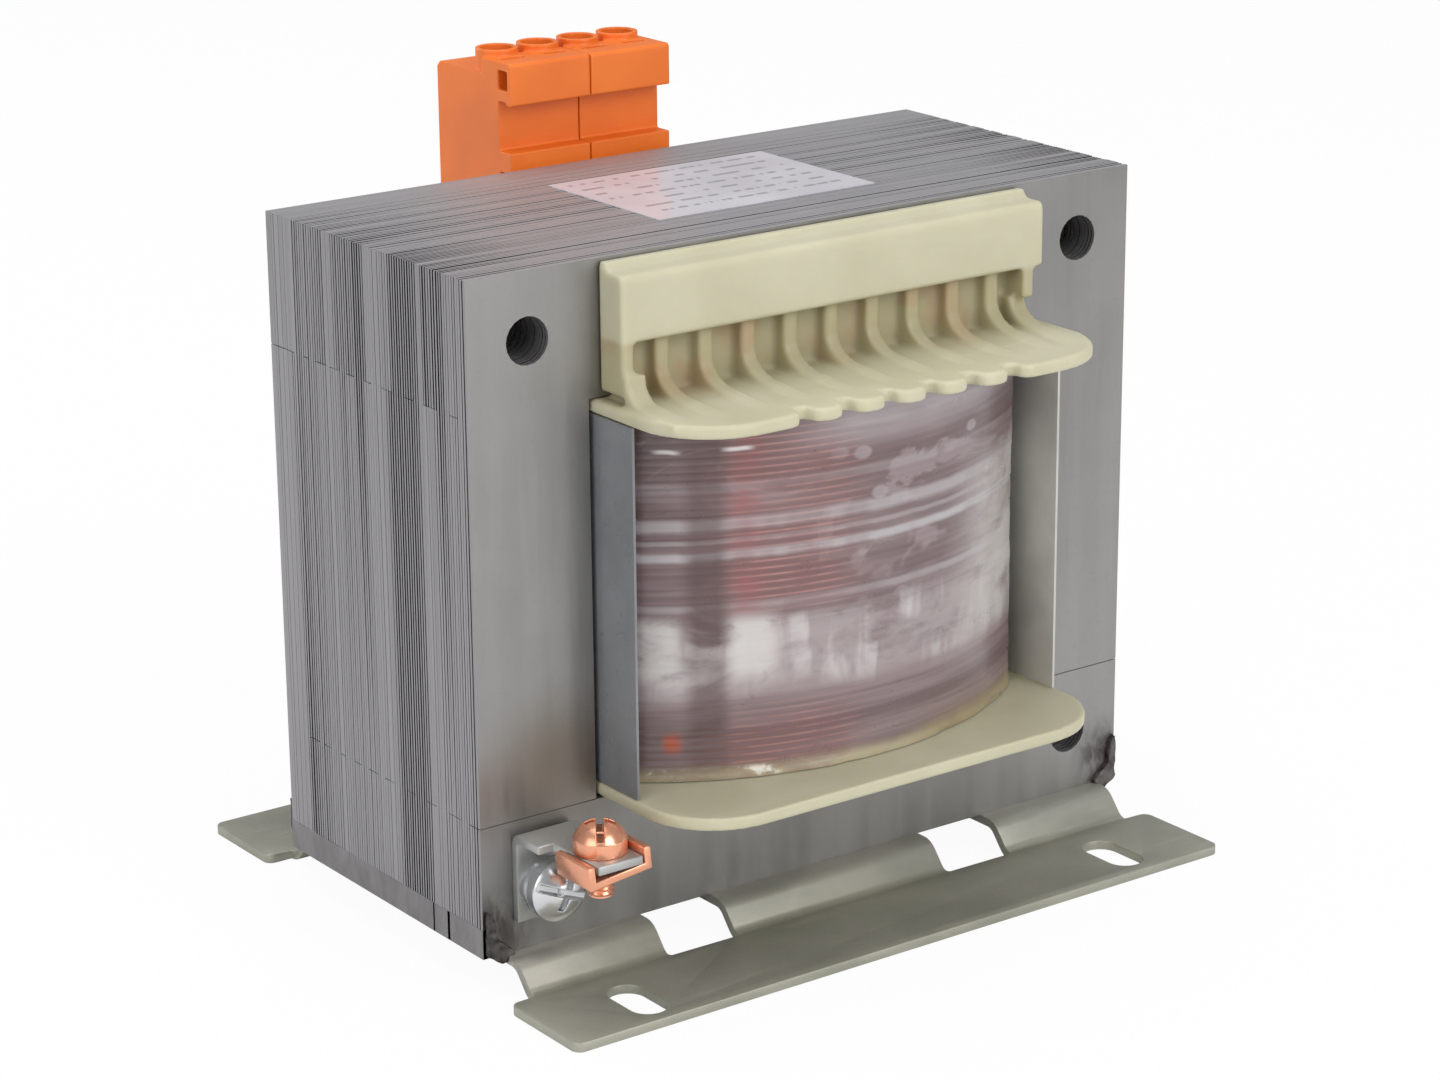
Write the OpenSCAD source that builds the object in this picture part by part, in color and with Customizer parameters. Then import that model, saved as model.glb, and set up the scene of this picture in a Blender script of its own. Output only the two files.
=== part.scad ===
// Laminated chassis transformer: a welded EI core with a wound bobbin, pressed feet,
// an earth terminal at the front and two-pole terminal blocks clipped on the rear rail.
// Millimetres, +Z up. The origin is on the floor, under the middle of the core.

/* [Core] */
// Width of the centre leg
centre_leg_w = 40; // [30:1:56]
// Width of each outer leg
outer_leg_w = 20; // [18:1:28]
// Height of each yoke
yoke_h = 20; // [19:1:28]
// Width of each winding window
window_w = 20; // [18:1:28]
// Height of each winding window
window_h = 60; // [45:1:90]
// Depth of the lamination stack
stack_d = 54; // [40:1:80]
// Diameter of the corner holes
core_hole_d = 7; // [6:0.5:8.5]
// Distance of the corner holes from the edges of the core
core_hole_inset = 10; // [9:0.5:12]
// Height of the fused seam on the bottom side edges
seam_h = 4.5; // [2:0.5:5]
// Depth of the fused seam
seam_d = 0.8; // [0.5:0.1:1.5]

/* [Feet] */
// Sheet thickness of the feet
foot_t = 1.5; // [1:0.25:2.5]
// Drop from the underside of the core to the top of the flange
foot_drop = 4; // [3.5:0.5:10]
// Margin of the flange beyond the slots, at its ends
flange_end = 12.6; // [8:0.2:20]
// Margin of the flange beyond the slots, at its outer edge
flange_edge = 2; // [1:0.5:8]
// Corner radius of the flange
flange_r = 1.5; // [0.5:0.5:4]
// Inset of the raised part from each side of the core
raised_inset = 3.8; // [1:0.2:6]
// Reach of the raised part under the core
tuck = 12; // [8:1:18]
// Flat lip of the raised part beyond the face of the core
lip = 1.5; // [1:0.25:3]
// Angle of the sloping web
web_angle = 50; // [40:5:70]
// Inside radius of both bends
bend_r = 2; // [1:0.25:2.5]
// Width of the mounting slots
slot_w = 5.8; // [4.5:0.1:7]
// Length of the mounting slots
slot_l = 11; // [9:0.5:13]
// Inset of the mounting slots from each side of the core
slot_inset = 15; // [8:0.5:18]
// Distance of the mounting slots from the face of the core
slot_reach = 17; // [16:0.5:24]
// Width of the strap windows in the web
strap_w = 12.5; // [8:0.5:16]
// Distance of each strap window from the middle
strap_x = 26.2; // [22:0.2:32]
// Reach of the strap windows under the core
strap_tuck = 5; // [2:0.5:8]
// Height of the corner welds
corner_weld_h = 7.5; // [3:0.5:8]
// Length of the corner welds
corner_weld_l = 4.2; // [4:0.2:6]

/* [Bobbin] */
// Clearance between the bobbin and the core
bobbin_gap = 0.4; // [0.2:0.05:0.6]
// Wall of the bobbin tube
tube_t = 1.4; // [1:0.1:2]
// Thickness of the cheeks
cheek_t = 2; // [1.5:0.1:3]
// Reach of the cheeks beyond the face of the core
cheek_reach = 23.5; // [21:0.5:26]
// Corner radius of the cheeks
cheek_r = 12; // [4:1:14]
// Pitch of the comb ribs, the wire notches and the terminal poles
comb_pitch = 7.5; // [7:0.1:8]
// Number of comb ribs between the end ribs
rib_n = 9; // [7:2:9]
// Thickness of the comb ribs
rib_t = 2.5; // [1.5:0.1:3.2]
// Reach of the sweep at the foot of each rib
rib_sweep = 6; // [3:0.5:6.5]
// Radius of the wire notches in the top cheek
notch_r = 1.1; // [1:0.1:1.5]
// Radius of the fingers between the wire notches
finger_r = 1.9; // [1:0.1:2]
// Inset of the rail from each end of the cheeks
rail_inset = 1.2; // [0.9:0.1:3]
// Height of the rail
rail_h = 10.9; // [9:0.1:12]
// Depth of the rail beyond the face of the core
rail_d = 6; // [5:0.25:7]
// Wall of the rail and the comb
rail_t = 1.6; // [1.2:0.1:2]

/* [Coil] */
// Build of the inner winding at the sides
inner_build = 7.2; // [5:0.1:9]
// Thickness of the insulation between the windings
barrier_t = 0.8; // [0.4:0.1:1.2]
// Build of the outer winding at the sides
outer_build = 6.2; // [4:0.1:7]
// Thickness of the outer tape
tape_t = 0.5; // [0.2:0.1:0.8]
// Build of the whole coil at the middle of the front and the rear
front_build = 13.8; // [10:0.2:18]
// Crown of the coil across the front and the rear
crown = 12.6; // [6:0.2:14]
// Clearance between the coil and the cheeks
coil_gap = 0.15; // [0.05:0.05:0.5]
// Thickness of the window liners
liner_t = 0.4; // [0.2:0.1:0.8]
// Reach of the window liners beyond the face of the core
liner_reach = 9.2; // [4:0.2:14]
// Radius of the lead sleeves
lead_r = 0.9; // [0.7:0.05:1]

/* [Terminal blocks] */
// Number of two-pole blocks on the rear rail
block_n = 2; // [2:1:2]
// Depth of a block behind the rail
block_d = 17.5; // [15:0.5:20]
// Height of a block above the rail
block_up = 16.2; // [14:0.1:19]
// Height of a block below the top of the rail
block_down = 13.5; // [13.2:0.1:15]
// Height of the overhanging front of a block
brow_h = 6.1; // [4:0.1:7]
// Drop of the rear shoulder below the top
shoulder_drop = 2.3; // [1:0.1:3]
// Outer radius of the screw funnels
funnel_r = 3.3; // [3:0.05:3.4]
// Bore radius of the screw funnels
funnel_bore_r = 2.6; // [2.4:0.05:2.8]
// Rise of the funnels above the top
funnel_rise = 1.1; // [0.5:0.1:2]
// Width of a wire entry
entry_w = 5.2; // [4.6:0.1:5.4]
// Height of a wire entry
entry_h = 5.6; // [4.6:0.1:6]
// Thread radius of the terminal screws
pole_screw_r = 1.5; // [1.25:0.05:1.6]

/* [Earth terminal] */
// Thread radius of the fixing screw
fixing_r = 2.5; // [2:0.1:2.8]
// Thread radius of the clamp screw
clamp_r = 1.75; // [1.5:0.05:2.2]
// Sheet thickness of the bracket
bracket_t = 1.3; // [1:0.1:2]
// Width of the bracket
bracket_w = 10; // [10:0.2:12]
// Width of the tongue
tongue_w = 7.5; // [7:0.1:8.6]
// Reach of the tongue beyond the face of the core
tongue_reach = 18.5; // [17:0.5:20]
// Sheet thickness of the clamp saddle
saddle_t = 1.1; // [0.8:0.1:1.6]
// Length of the clamp saddle along the tongue
saddle_l = 8.5; // [7:0.5:10]

/* [Label] */
// Width of the rating label
label_w = 39.6; // [20:0.2:60]
// Depth of the rating label
label_d = 28.8; // [15:0.2:32]
// Thickness of the rating label
label_t = 0.12; // [0.08:0.02:0.3]

/* [Hidden] */
$fn = 64;
eps = 0.01;
past = 1;                       // how far a cutter runs past a face

// Core
core_w = centre_leg_w + 2 * (window_w + outer_leg_w);
core_h = window_h + 2 * yoke_h;
core_z = foot_drop + foot_t;
core_top = core_z + core_h;
face_y = stack_d / 2;
pack_shares = [6, 7.5, 6.5, 7, 5.5, 8, 7, 6.5];   // thickness of each pack, front to rear
pack_n = len(pack_shares);
function total(list, count) = count == 0 ? 0 : list[count - 1] + total(list, count - 1);
function pack_y(i) = -face_y + stack_d * total(pack_shares, i) / total(pack_shares, pack_n);

// Feet
bend_mid_r = bend_r + foot_t / 2;
raised_l = core_w - 2 * raised_inset;
slot_pitch_x = core_w - 2 * slot_inset;
slot_pitch_y = stack_d + 2 * slot_reach;
flange_l = slot_pitch_x + slot_w + 2 * flange_end;
web_l = (foot_drop - 2 * bend_mid_r * (1 - cos(web_angle))) / sin(web_angle);
upper_bend_y = face_y + lip;
lower_bend_y = upper_bend_y + 2 * bend_mid_r * sin(web_angle) + web_l * cos(web_angle);
flange_y = (slot_pitch_y + slot_l) / 2 + flange_edge;
weld_inset = 0.4;               // corner welds stay this far in from the side of the core
weld_bulge = 1;
weld_x = core_w / 2 - weld_inset;
strap_r = 0.8;

// Bobbin
tube_x = centre_leg_w / 2 + bobbin_gap + tube_t;
tube_y = face_y + bobbin_gap + tube_t;
cheek_gap = 0.25;               // cheeks to the yokes
cheek_x = centre_leg_w / 2 + window_w - 0.6;
cheek_y = face_y + cheek_reach;
cheek_low_z = core_z + yoke_h + cheek_gap;
cheek_high_z = core_top - yoke_h - cheek_gap;
rail_l = 2 * (cheek_x - rail_inset);
comb_back_y = face_y + 0.2;     // comb stands just clear of the face of the core
comb_wall_y = comb_back_y + rail_t;
rail_y = face_y + rail_d;
rail_top = core_top - 0.5;
rail_z = rail_top - rail_h;
bar_top = rail_top - 1.1;       // the bar stands lower than the wall behind it
rail_edge_r = 1;
rib_y = rail_y - 2;             // front of the ribs under the rail
rib_zone = rail_z - cheek_high_z;
rib_rise = rib_zone * 0.4;      // height of the sweep at the foot of each rib
ridge_h = 0.6;                  // ridge that carries on over the cheek
ridge_fade = 5.5;               // the ridge is gone this far from the edge
end_wall_t = 2;
end_slit = 1.25;                // slit between the left end wall and the cheek
end_rib_t = 3.1;
end_step = 1.8;                 // the right end rib and end wall stand in by this much
end_rib_top = rail_z - rib_zone / 2;
left_rib_t = 3.5;               // the left end rib closes the front of its wall
left_rib_y = rail_y + 0.6;
notch_d = notch_r + finger_r;   // depth of the wire notches

// Coil
side_build = inner_build + barrier_t + outer_build + tape_t;
coil_z0 = cheek_low_z + cheek_t + coil_gap;
coil_z1 = cheek_high_z - cheek_t - coil_gap;
function coil_x(t) = tube_x + t;
function coil_y(t) = tube_y + t * front_build / side_build;
function coil_crown(t) = crown * t / side_build;
layer_gap = 0.05;
liner_x = cheek_x - 0.3;        // outer face of a liner

// Terminal blocks
poles = 2;
pole_n = poles * block_n;
block_w = poles * comb_pitch - 0.2;
clip_gap = 0.2;
block_y = rail_y + 0.5;         // inner face of a block, behind the rail
block_rear = block_y + block_d;
block_top = rail_top + block_up;
block_z = rail_top - block_down;
brow_y = block_y - 3.4;         // front of the overhanging brow
ledge_y = block_y - 3.1;        // ledge that rests on the rail
ledge_rise = 2.3;               // top of the ledge above the top of the rail
hook_y = block_y - 1.9;         // hook under the rail
hook_t = 1.8;
shoulder_z = block_top - shoulder_drop;
step_y = block_y + 4.7;
pole_in = 5.8;
pole_y = block_y + pole_in;     // axis of the terminal screws
funnel_top = block_top + funnel_rise;
pocket_w = entry_w + 1;
pocket_y0 = pole_y - 3.1;
pocket_y1 = pole_y + 3.2;
key_d = 2.5;                    // key hole through the brow
key_h = 3.1;
key_inset = 0.9;                // wall in front of the key hole
key_roof = 1.2;
test_slot_d = 1.2;              // test slot in the top, over each pole
test_slot_w = 4.2;
test_slot_h = 2;
test_slot_y = brow_y + 4.3;
entry_z = rail_top + 1.7;
pocket_z1 = entry_z + entry_h + 1.8;
cage_w = pocket_w - 0.3;
cage_y0 = pocket_y0 + 0.3;
cage_y1 = pocket_y1 - 0.2;
cage_z0 = entry_z + 0.1;
cage_z1 = pocket_z1 - 0.2;
cage_wall = 0.8;
cage_roof = 2;
pole_head_z = pocket_z1 + 0.6;  // underside of the terminal screw heads
pole_head_h = 1.8;
pole_slot_w = 0.8;
pole_slot_d = 0.8;
contact_t = 0.8;
contact_w = cage_w - 2 * cage_wall - 0.5;
contact_z = cage_z1 - cage_roof - contact_t - 0.3;
tail_y = block_y + 1;           // inner face of the solder tails
tail_z = block_z - 2.5;
lead_z = block_z - 1.4;         // height of the leads under the blocks
lead_bend_r = 2.5;
lead_y = cheek_y - finger_r - 0.1;
lead_start_z = cheek_high_z - cheek_t - 5;
wire_r = lead_r * 0.6;
function pole_x(i) = (i - (pole_n - 1) / 2) * comb_pitch;

// Earth terminal
fixing_x = -core_w / 2 + core_hole_inset;
fixing_z = core_z + core_hole_inset;
bracket_side = 5.3;             // right edge of the bracket from the fixing screw
bracket_drop = 5.2;             // lower edge of the bracket below the fixing screw
tab_rise = 8.4;                 // top of the tab above the fixing screw
clamp_inset = 5.2;              // clamp screw from the end of the tongue
bracket_x = fixing_x + bracket_side - bracket_w;
bracket_z0 = fixing_z - bracket_drop;
tab_z = fixing_z + tab_rise;
tab_d = 7;                      // depth of the wide part of the tab
bracket_y = face_y + bracket_t;
bracket_bend_r = 1.8;
tongue_x = bracket_x + bracket_w - tongue_w;
clamp_x = tongue_x + tongue_w / 2;
clamp_y = -(face_y + tongue_reach - clamp_inset);
washer_r = fixing_r + 2;
washer_t = 1;
spring_t = 1.2;
nut_t = 4;
fixing_head_y = bracket_y + washer_t + spring_t;
fixing_tip_y = face_y + washer_t + nut_t + 1.5;
saddle_gap = 0.05;              // between the tongue and the raised side of the saddle
saddle_tilt = 6;                // lean of the saddle on the tongue
saddle_shift = 0.9;
saddle_y = clamp_y - saddle_shift;
saddle_slack = 0.9;             // between the ears and the tongue, both sides together
saddle_w = tongue_w + saddle_slack + 2 * saddle_t;
saddle_z1 = tab_z - bracket_t - saddle_gap;
saddle_ear = 1.05;              // ears stand this far above the tab
clamp_l = 6.6;                  // shank of the clamp screw
clamp_head_r = clamp_r + 2.15;
clamp_head_h = 4.8;
clamp_turn = 57;                // where the slot of each head came to rest
fixing_head_r = fixing_r + 2.2;
fixing_head_h = 3.9;
fixing_turn = -22;
head_slot_w = 1.1;
shank_root = 0.8;               // shanks run this far into their heads
head_slot_d = 0.46;             // depths over the height of the head
head_cross_d = 0.5;
head_cross_l = 1.1;             // length of the cross over the radius of the head

function arc(x, y, r, a0, a1, n = 8) =
    [for (i = [0:n]) [x + r * cos(a0 + (a1 - a0) * i / n), y + r * sin(a0 + (a1 - a0) * i / n)]];

function oval_arc(x, y, rx, ry, a0, a1, n = 8) =
    [for (i = [0:n]) [x + rx * cos(a0 + (a1 - a0) * i / n), y + ry * sin(a0 + (a1 - a0) * i / n)]];

// Lays a profile drawn in (y, z) along X, centred
module along_x(length) {
    rotate([90, 0, 90]) linear_extrude(length, center = true) children();
}

module rounded_rect(x0, y0, x1, y1, r) {
    translate([x0 + r, y0]) square([x1 - x0 - 2 * r, y1 - y0]);
    translate([x0, y0 + r]) square([x1 - x0, y1 - y0 - 2 * r]);
    for (x = [x0 + r, x1 - r], y = [y0 + r, y1 - r]) translate([x, y]) circle(r);
}

// ---- Core ----

// One pack of the stack: its outline is drawn in (x, z) from the underside of the core
module pack(i) {
    translate([0, pack_y(i + 1), core_z]) rotate([90, 0, 0])
        linear_extrude(pack_y(i + 1) - pack_y(i)) children();
}

module core_holes_2d() {
    for (x = [-1, 1], z = [core_hole_inset, core_h - core_hole_inset])
        translate([x * (core_w / 2 - core_hole_inset), z]) circle(d = core_hole_d);
}

module seam_relief_2d() {
    for (x = [-1, 1]) translate([x * core_w / 2, 0]) square([2 * seam_d, 2 * seam_h], center = true);
}

module e_sheet_2d() {
    difference() {
        translate([-core_w / 2, yoke_h]) square([core_w, core_h - yoke_h]);
        for (x = [-1, 1]) translate([x * (centre_leg_w + window_w) / 2, yoke_h + window_h / 2 - past / 2])
            square([window_w, window_h + past], center = true);
        core_holes_2d();
    }
}

module i_sheet_2d() {
    difference() {
        translate([-core_w / 2, 0]) square([core_w, yoke_h]);
        core_holes_2d();
    }
}

module flip_2d() {
    translate([0, core_h]) mirror([0, 1]) children();
}

module e_laminations_upright() {
    color([0.56, 0.55, 0.56]) for (i = [0:2:pack_n - 1]) pack(i) e_sheet_2d();
}

module i_laminations_bottom() {
    color([0.53, 0.52, 0.53]) for (i = [0:2:pack_n - 1]) pack(i) difference() {
        i_sheet_2d();
        seam_relief_2d();
    }
}

module e_laminations_inverted() {
    color([0.54, 0.53, 0.54]) for (i = [1:2:pack_n - 1]) pack(i) difference() {
        flip_2d() e_sheet_2d();
        seam_relief_2d();
    }
}

module i_laminations_top() {
    color([0.57, 0.56, 0.57]) for (i = [1:2:pack_n - 1]) pack(i) flip_2d() i_sheet_2d();
}

module weld_seams() {
    color([0.5, 0.49, 0.49]) for (x = [-1, 1])
        translate([x * (core_w / 2 - seam_d / 2), 0, core_z + seam_h / 2])
            cube([seam_d, stack_d, seam_h], center = true);
}

module foot_welds() {
    color([0.27, 0.25, 0.24]) for (x = [-1, 1], y = [0, 1]) mirror([0, y, 0])
        mirror([x < 0 ? 1 : 0, 0, 0]) translate([0, face_y + weld_bulge, 0]) rotate([90, 0, 0])
            linear_extrude(weld_bulge) polygon([
                [weld_x, core_z + corner_weld_h], [weld_x - 0.9, core_z + corner_weld_h - 0.6],
                [weld_x - 1.6, core_z + corner_weld_h * 0.4], [weld_x - corner_weld_l, core_z + 0.6],
                [weld_x - corner_weld_l, core_z], [raised_l / 2, core_z], [raised_l / 2, core_z - 1.2],
                [raised_l / 2 + 1.2, core_z - 1], [weld_x, core_z + 0.6]]);
}

// ---- Feet ----

module foot_profile() {
    top_y = core_z - foot_t - bend_r;
    polygon(concat(
        [[face_y - tuck, core_z]],
        arc(upper_bend_y, top_y, bend_r + foot_t, 90, 90 - web_angle),
        arc(lower_bend_y, foot_t + bend_r, bend_r, 270 - web_angle, 270),
        [[lower_bend_y + 2, foot_t], [lower_bend_y + 2, 0]],
        arc(lower_bend_y, foot_t + bend_r, bend_r + foot_t, 270, 270 - web_angle),
        arc(upper_bend_y, top_y, bend_r, 90 - web_angle, 90),
        [[face_y - tuck, core_z - foot_t]]));
}

module mounting_slot() {
    straight = slot_l - slot_w;
    for (y = [-1, 1]) translate([0, y * straight / 2, -past]) cylinder(d = slot_w, h = foot_t + 2 * past);
    translate([-slot_w / 2, -straight / 2, -past]) cube([slot_w, straight, foot_t + 2 * past]);
}

module foot() {
    color([0.62, 0.61, 0.57]) difference() {
        union() {
            along_x(raised_l) foot_profile();
            linear_extrude(foot_t)
                rounded_rect(-flange_l / 2, lower_bend_y, flange_l / 2, flange_y, flange_r);
        }
        for (x = [-1, 1]) {
            translate([x * slot_pitch_x / 2, slot_pitch_y / 2, 0]) mounting_slot();
            translate([x * strap_x, 0, -past]) linear_extrude(core_z + 2 * past)
                rounded_rect(-strap_w / 2, face_y - strap_tuck, strap_w / 2, lower_bend_y, strap_r);
        }
    }
}

module foot_rear() { foot(); }

module foot_front() { mirror([0, 1, 0]) foot(); }

// ---- Bobbin ----

module cheek_2d() {
    difference() {
        rounded_rect(-cheek_x, -cheek_y, cheek_x, cheek_y, cheek_r);
        square([2 * (tube_x - tube_t), 2 * (tube_y - tube_t)], center = true);
    }
}

module wire_notch() {
    translate([0, cheek_y - finger_r]) {
        circle(notch_r);
        translate([-notch_r, 0]) square([2 * notch_r, finger_r + past]);
        for (x = [-1, 1]) translate([x * (notch_r + finger_r), 0]) difference() {
            translate([-x * finger_r / 2, (finger_r + past) / 2])
                square([finger_r + 2 * eps, finger_r + past], center = true);
            circle(finger_r);
        }
    }
}

module rail_profile() {
    polygon(concat(
        [[comb_back_y, rail_z - rib_zone / 2], [comb_back_y, rail_top],
         [comb_wall_y, rail_top], [comb_wall_y, bar_top]],
        arc(rail_y - rail_edge_r, bar_top - rail_edge_r, rail_edge_r, 90, 0),
        [[rail_y, rail_z], [rail_y - rail_t, rail_z], [rail_y - rail_t, bar_top - rail_t],
         [comb_wall_y, bar_top - rail_t], [comb_wall_y, rail_z - rib_zone / 2]]));
}

module rib_profile(top_z, front_y = rib_y) {
    low = cheek_high_z + ridge_h;
    reach = rib_y + rib_sweep - front_y;
    polygon(concat(
        [[comb_back_y, cheek_high_z - cheek_t / 2], [comb_back_y, top_z], [front_y, top_z]],
        oval_arc(front_y + reach, low + rib_rise, reach, rib_rise, 180, 270),
        [[cheek_y - ridge_fade, cheek_high_z], [cheek_y - ridge_fade, cheek_high_z - cheek_t / 2]]));
}

// End wall under the rail, from z0 up
module end_wall(z0) {
    along_x(end_wall_t)
        polygon([[comb_back_y, z0], [comb_back_y, bar_top - rail_t], [rail_y - rail_t / 2, bar_top - rail_t],
                 [rail_y, rail_z], [rail_y, z0]]);
}

module comb() {
    along_x(rail_l) rail_profile();
    translate([-rail_l / 2 + end_wall_t, comb_back_y, cheek_high_z - cheek_t / 2])
        cube([rail_l - end_wall_t, rail_t, rib_zone]);
    for (i = [0:rib_n - 1]) translate([(i - (rib_n - 1) / 2) * comb_pitch, 0, 0])
        along_x(rib_t) rib_profile(bar_top - rail_t);
    translate([rail_l / 2 - end_step - end_rib_t / 2, 0, 0]) along_x(end_rib_t) rib_profile(end_rib_top);
    difference() {
        translate([-(rail_l - left_rib_t) / 2, 0, 0]) along_x(left_rib_t) rib_profile(end_rib_top, left_rib_y);
        translate([-rail_l / 2 - past, comb_back_y - past, cheek_high_z])
            cube([past + end_step, rail_y - comb_back_y + past, end_slit]);
    }
    translate([-(rail_l - end_wall_t) / 2, 0, 0]) end_wall(cheek_high_z + end_slit);
    translate([rail_l / 2 - end_step - end_wall_t / 2, 0, 0]) end_wall(end_rib_top - 0.2);
}

module bobbin() {
    color([0.83, 0.82, 0.66]) {
        difference() {
            translate([-tube_x, -tube_y, cheek_low_z])
                cube([2 * tube_x, 2 * tube_y, cheek_high_z - cheek_low_z]);
            translate([-tube_x + tube_t, -tube_y + tube_t, cheek_low_z - past])
                cube([2 * (tube_x - tube_t), 2 * (tube_y - tube_t), cheek_high_z - cheek_low_z + 2 * past]);
        }
        translate([0, 0, cheek_low_z]) linear_extrude(cheek_t) cheek_2d();
        translate([0, 0, cheek_high_z - cheek_t]) linear_extrude(cheek_t) difference() {
            cheek_2d();
            for (i = [0:5], side = [0, 1]) mirror([0, side]) translate([(i - 2.5) * comb_pitch, 0]) wire_notch();
        }
        comb();
        mirror([0, 1, 0]) comb();
    }
}

// ---- Coil ----

// Outline of the coil at a build of t from the tube: flat sides, crowned front and rear
module coil_outline(t) {
    x = coil_x(t);
    y = coil_y(t);
    c = coil_crown(t);
    r = (x * x + c * c) / (2 * c);
    intersection() {
        square([2 * x, 2 * y], center = true);
        translate([0, y - r]) circle(r, $fn = 256);
        translate([0, r - y]) circle(r, $fn = 256);
    }
}

module coil_layer(t0, t1) {
    translate([0, 0, coil_z0]) linear_extrude(coil_z1 - coil_z0) difference() {
        coil_outline(t1);
        if (t0 > 0) coil_outline(t0 + layer_gap);
        else square([2 * tube_x + 2 * layer_gap, 2 * tube_y + 2 * layer_gap], center = true);
    }
}

module inner_winding() { color([0.6, 0.3, 0.2]) coil_layer(0, inner_build); }

module winding_barrier() { color([0.85, 0.8, 0.6]) coil_layer(inner_build, inner_build + barrier_t); }

module outer_winding() {
    color([0.58, 0.32, 0.3]) coil_layer(inner_build + barrier_t, side_build - tape_t);
}

module outer_tape() { color([0.68, 0.6, 0.64]) coil_layer(side_build - tape_t, side_build); }

module liner() {
    translate([liner_x - liner_t, -(face_y + liner_reach), coil_z0])
        cube([liner_t, 2 * (face_y + liner_reach), coil_z1 - coil_z0]);
}

module liner_right() { color([0.6, 0.6, 0.58]) liner(); }

module liner_left() { color([0.6, 0.6, 0.58]) mirror([1, 0, 0]) liner(); }

// A sleeved lead: out of the coil, up through a wire notch and in to the solder tail
module lead_bend(y, z, start) {
    translate([0, y, z]) rotate([90, 0, 90]) rotate([0, 0, start]) rotate_extrude(angle = 90)
        translate([lead_bend_r, 0]) circle(lead_r);
}

module lead_run(from, to, r) {
    translate([0, from.x, from.y]) rotate([from.x == to.x ? 0 : (to.x > from.x ? -90 : 90), 0, 0])
        cylinder(r = r, h = norm(to - from));
}

module lead(i) {
    t = side_build;
    c = coil_crown(t);
    r = (coil_x(t) * coil_x(t) + c * c) / (2 * c);
    inner_x = max(0, abs(pole_x(i)) - lead_r);
    start_y = coil_y(t) - r + sqrt(r * r - inner_x * inner_x) + layer_gap;
    sleeve_y = tail_y + contact_t + 2;
    translate([pole_x(i), 0, 0]) {
        lead_run([lead_y - lead_bend_r, lead_start_z], [start_y, lead_start_z], lead_r);
        lead_bend(lead_y - lead_bend_r, lead_start_z + lead_bend_r, 270);
        lead_run([lead_y, lead_start_z + lead_bend_r], [lead_y, lead_z - lead_bend_r], lead_r);
        lead_bend(lead_y - lead_bend_r, lead_z - lead_bend_r, 0);
        lead_run([lead_y - lead_bend_r, lead_z], [sleeve_y, lead_z], lead_r);
        lead_run([sleeve_y + eps, lead_z], [tail_y + contact_t, lead_z], wire_r);
    }
}

module lead_1() { color([0.85, 0.83, 0.75]) lead(0); }

module lead_2() { color([0.85, 0.83, 0.75]) lead(1); }

module lead_3() { color([0.85, 0.83, 0.75]) lead(2); }

module lead_4() { color([0.85, 0.83, 0.75]) lead(3); }

// ---- Terminal blocks ----

module block_profile() {
    brow_z = block_top - brow_h;
    ledge_z = bar_top + clip_gap;
    ledge_top = rail_top + ledge_rise;
    hook_z = rail_z - clip_gap;
    polygon([
        [block_y, block_z], [block_rear, block_z], [block_rear, shoulder_z - 0.8],
        [block_rear - 0.8, shoulder_z], [step_y, shoulder_z], [step_y, block_top],
        [brow_y + 0.4, block_top], [brow_y, block_top - 0.4], [brow_y, brow_z - 0.4],
        [brow_y + 1.1, brow_z - 0.4], [brow_y + 1.3, brow_z], [block_y, brow_z],
        [block_y, ledge_top], [ledge_y, ledge_top], [ledge_y, ledge_z],
        [block_y, ledge_z], [block_y, hook_z], [hook_y, hook_z],
        [hook_y, hook_z - hook_t], [block_y, hook_z - hook_t]]);
}

module pole_pocket() {
    translate([-entry_w / 2, pole_y, entry_z]) cube([entry_w, block_rear - pole_y + past, entry_h]);
    translate([-pocket_w / 2, pocket_y0, entry_z]) cube([pocket_w, pocket_y1 - pocket_y0, pocket_z1 - entry_z]);
    translate([0, pole_y, pocket_z1 - eps]) cylinder(r = funnel_bore_r, h = funnel_top - pocket_z1 + past);
    // slots for the contact bar and its solder tail
    translate([-contact_w / 2 - 0.1, tail_y - 0.1, block_z - past])
        cube([contact_w + 0.2, contact_t + 0.2, contact_z + contact_t + 0.1 - block_z + past]);
    translate([-contact_w / 2 - 0.1, tail_y - 0.1, contact_z - 0.1])
        cube([contact_w + 0.2, pocket_y0 - tail_y + 0.2, contact_t + 0.2]);
    // test slot in the top
    translate([-test_slot_w / 2, test_slot_y, block_top - test_slot_h])
        cube([test_slot_w, test_slot_d, test_slot_h + past]);
}

module terminal_block(index) {
    first = index * poles;
    middle = (pole_x(first) + pole_x(first + 1)) / 2;
    color([0.93, 0.49, 0.22]) difference() {
        union() {
            translate([middle, 0, 0]) along_x(block_w) block_profile();
            for (i = [first, first + 1]) translate([pole_x(i), pole_y, shoulder_z - 1])
                cylinder(r = funnel_r, h = funnel_top - shoulder_z + 1);
            translate([middle, block_rear, shoulder_z - 2.5]) rotate([0, 90, 0])
                cylinder(r = 0.5, h = block_w - 2, center = true);
        }
        for (i = [first, first + 1]) translate([pole_x(i), 0, 0]) pole_pocket();
        // square key hole through the brow
        translate([middle - block_w / 2 - past, brow_y + key_inset, block_top - key_roof - key_h])
            cube([block_w + 2 * past, key_d, key_h]);
    }
}

module terminal_block_left() { terminal_block(0); }

module terminal_block_right() { terminal_block(1); }

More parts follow.
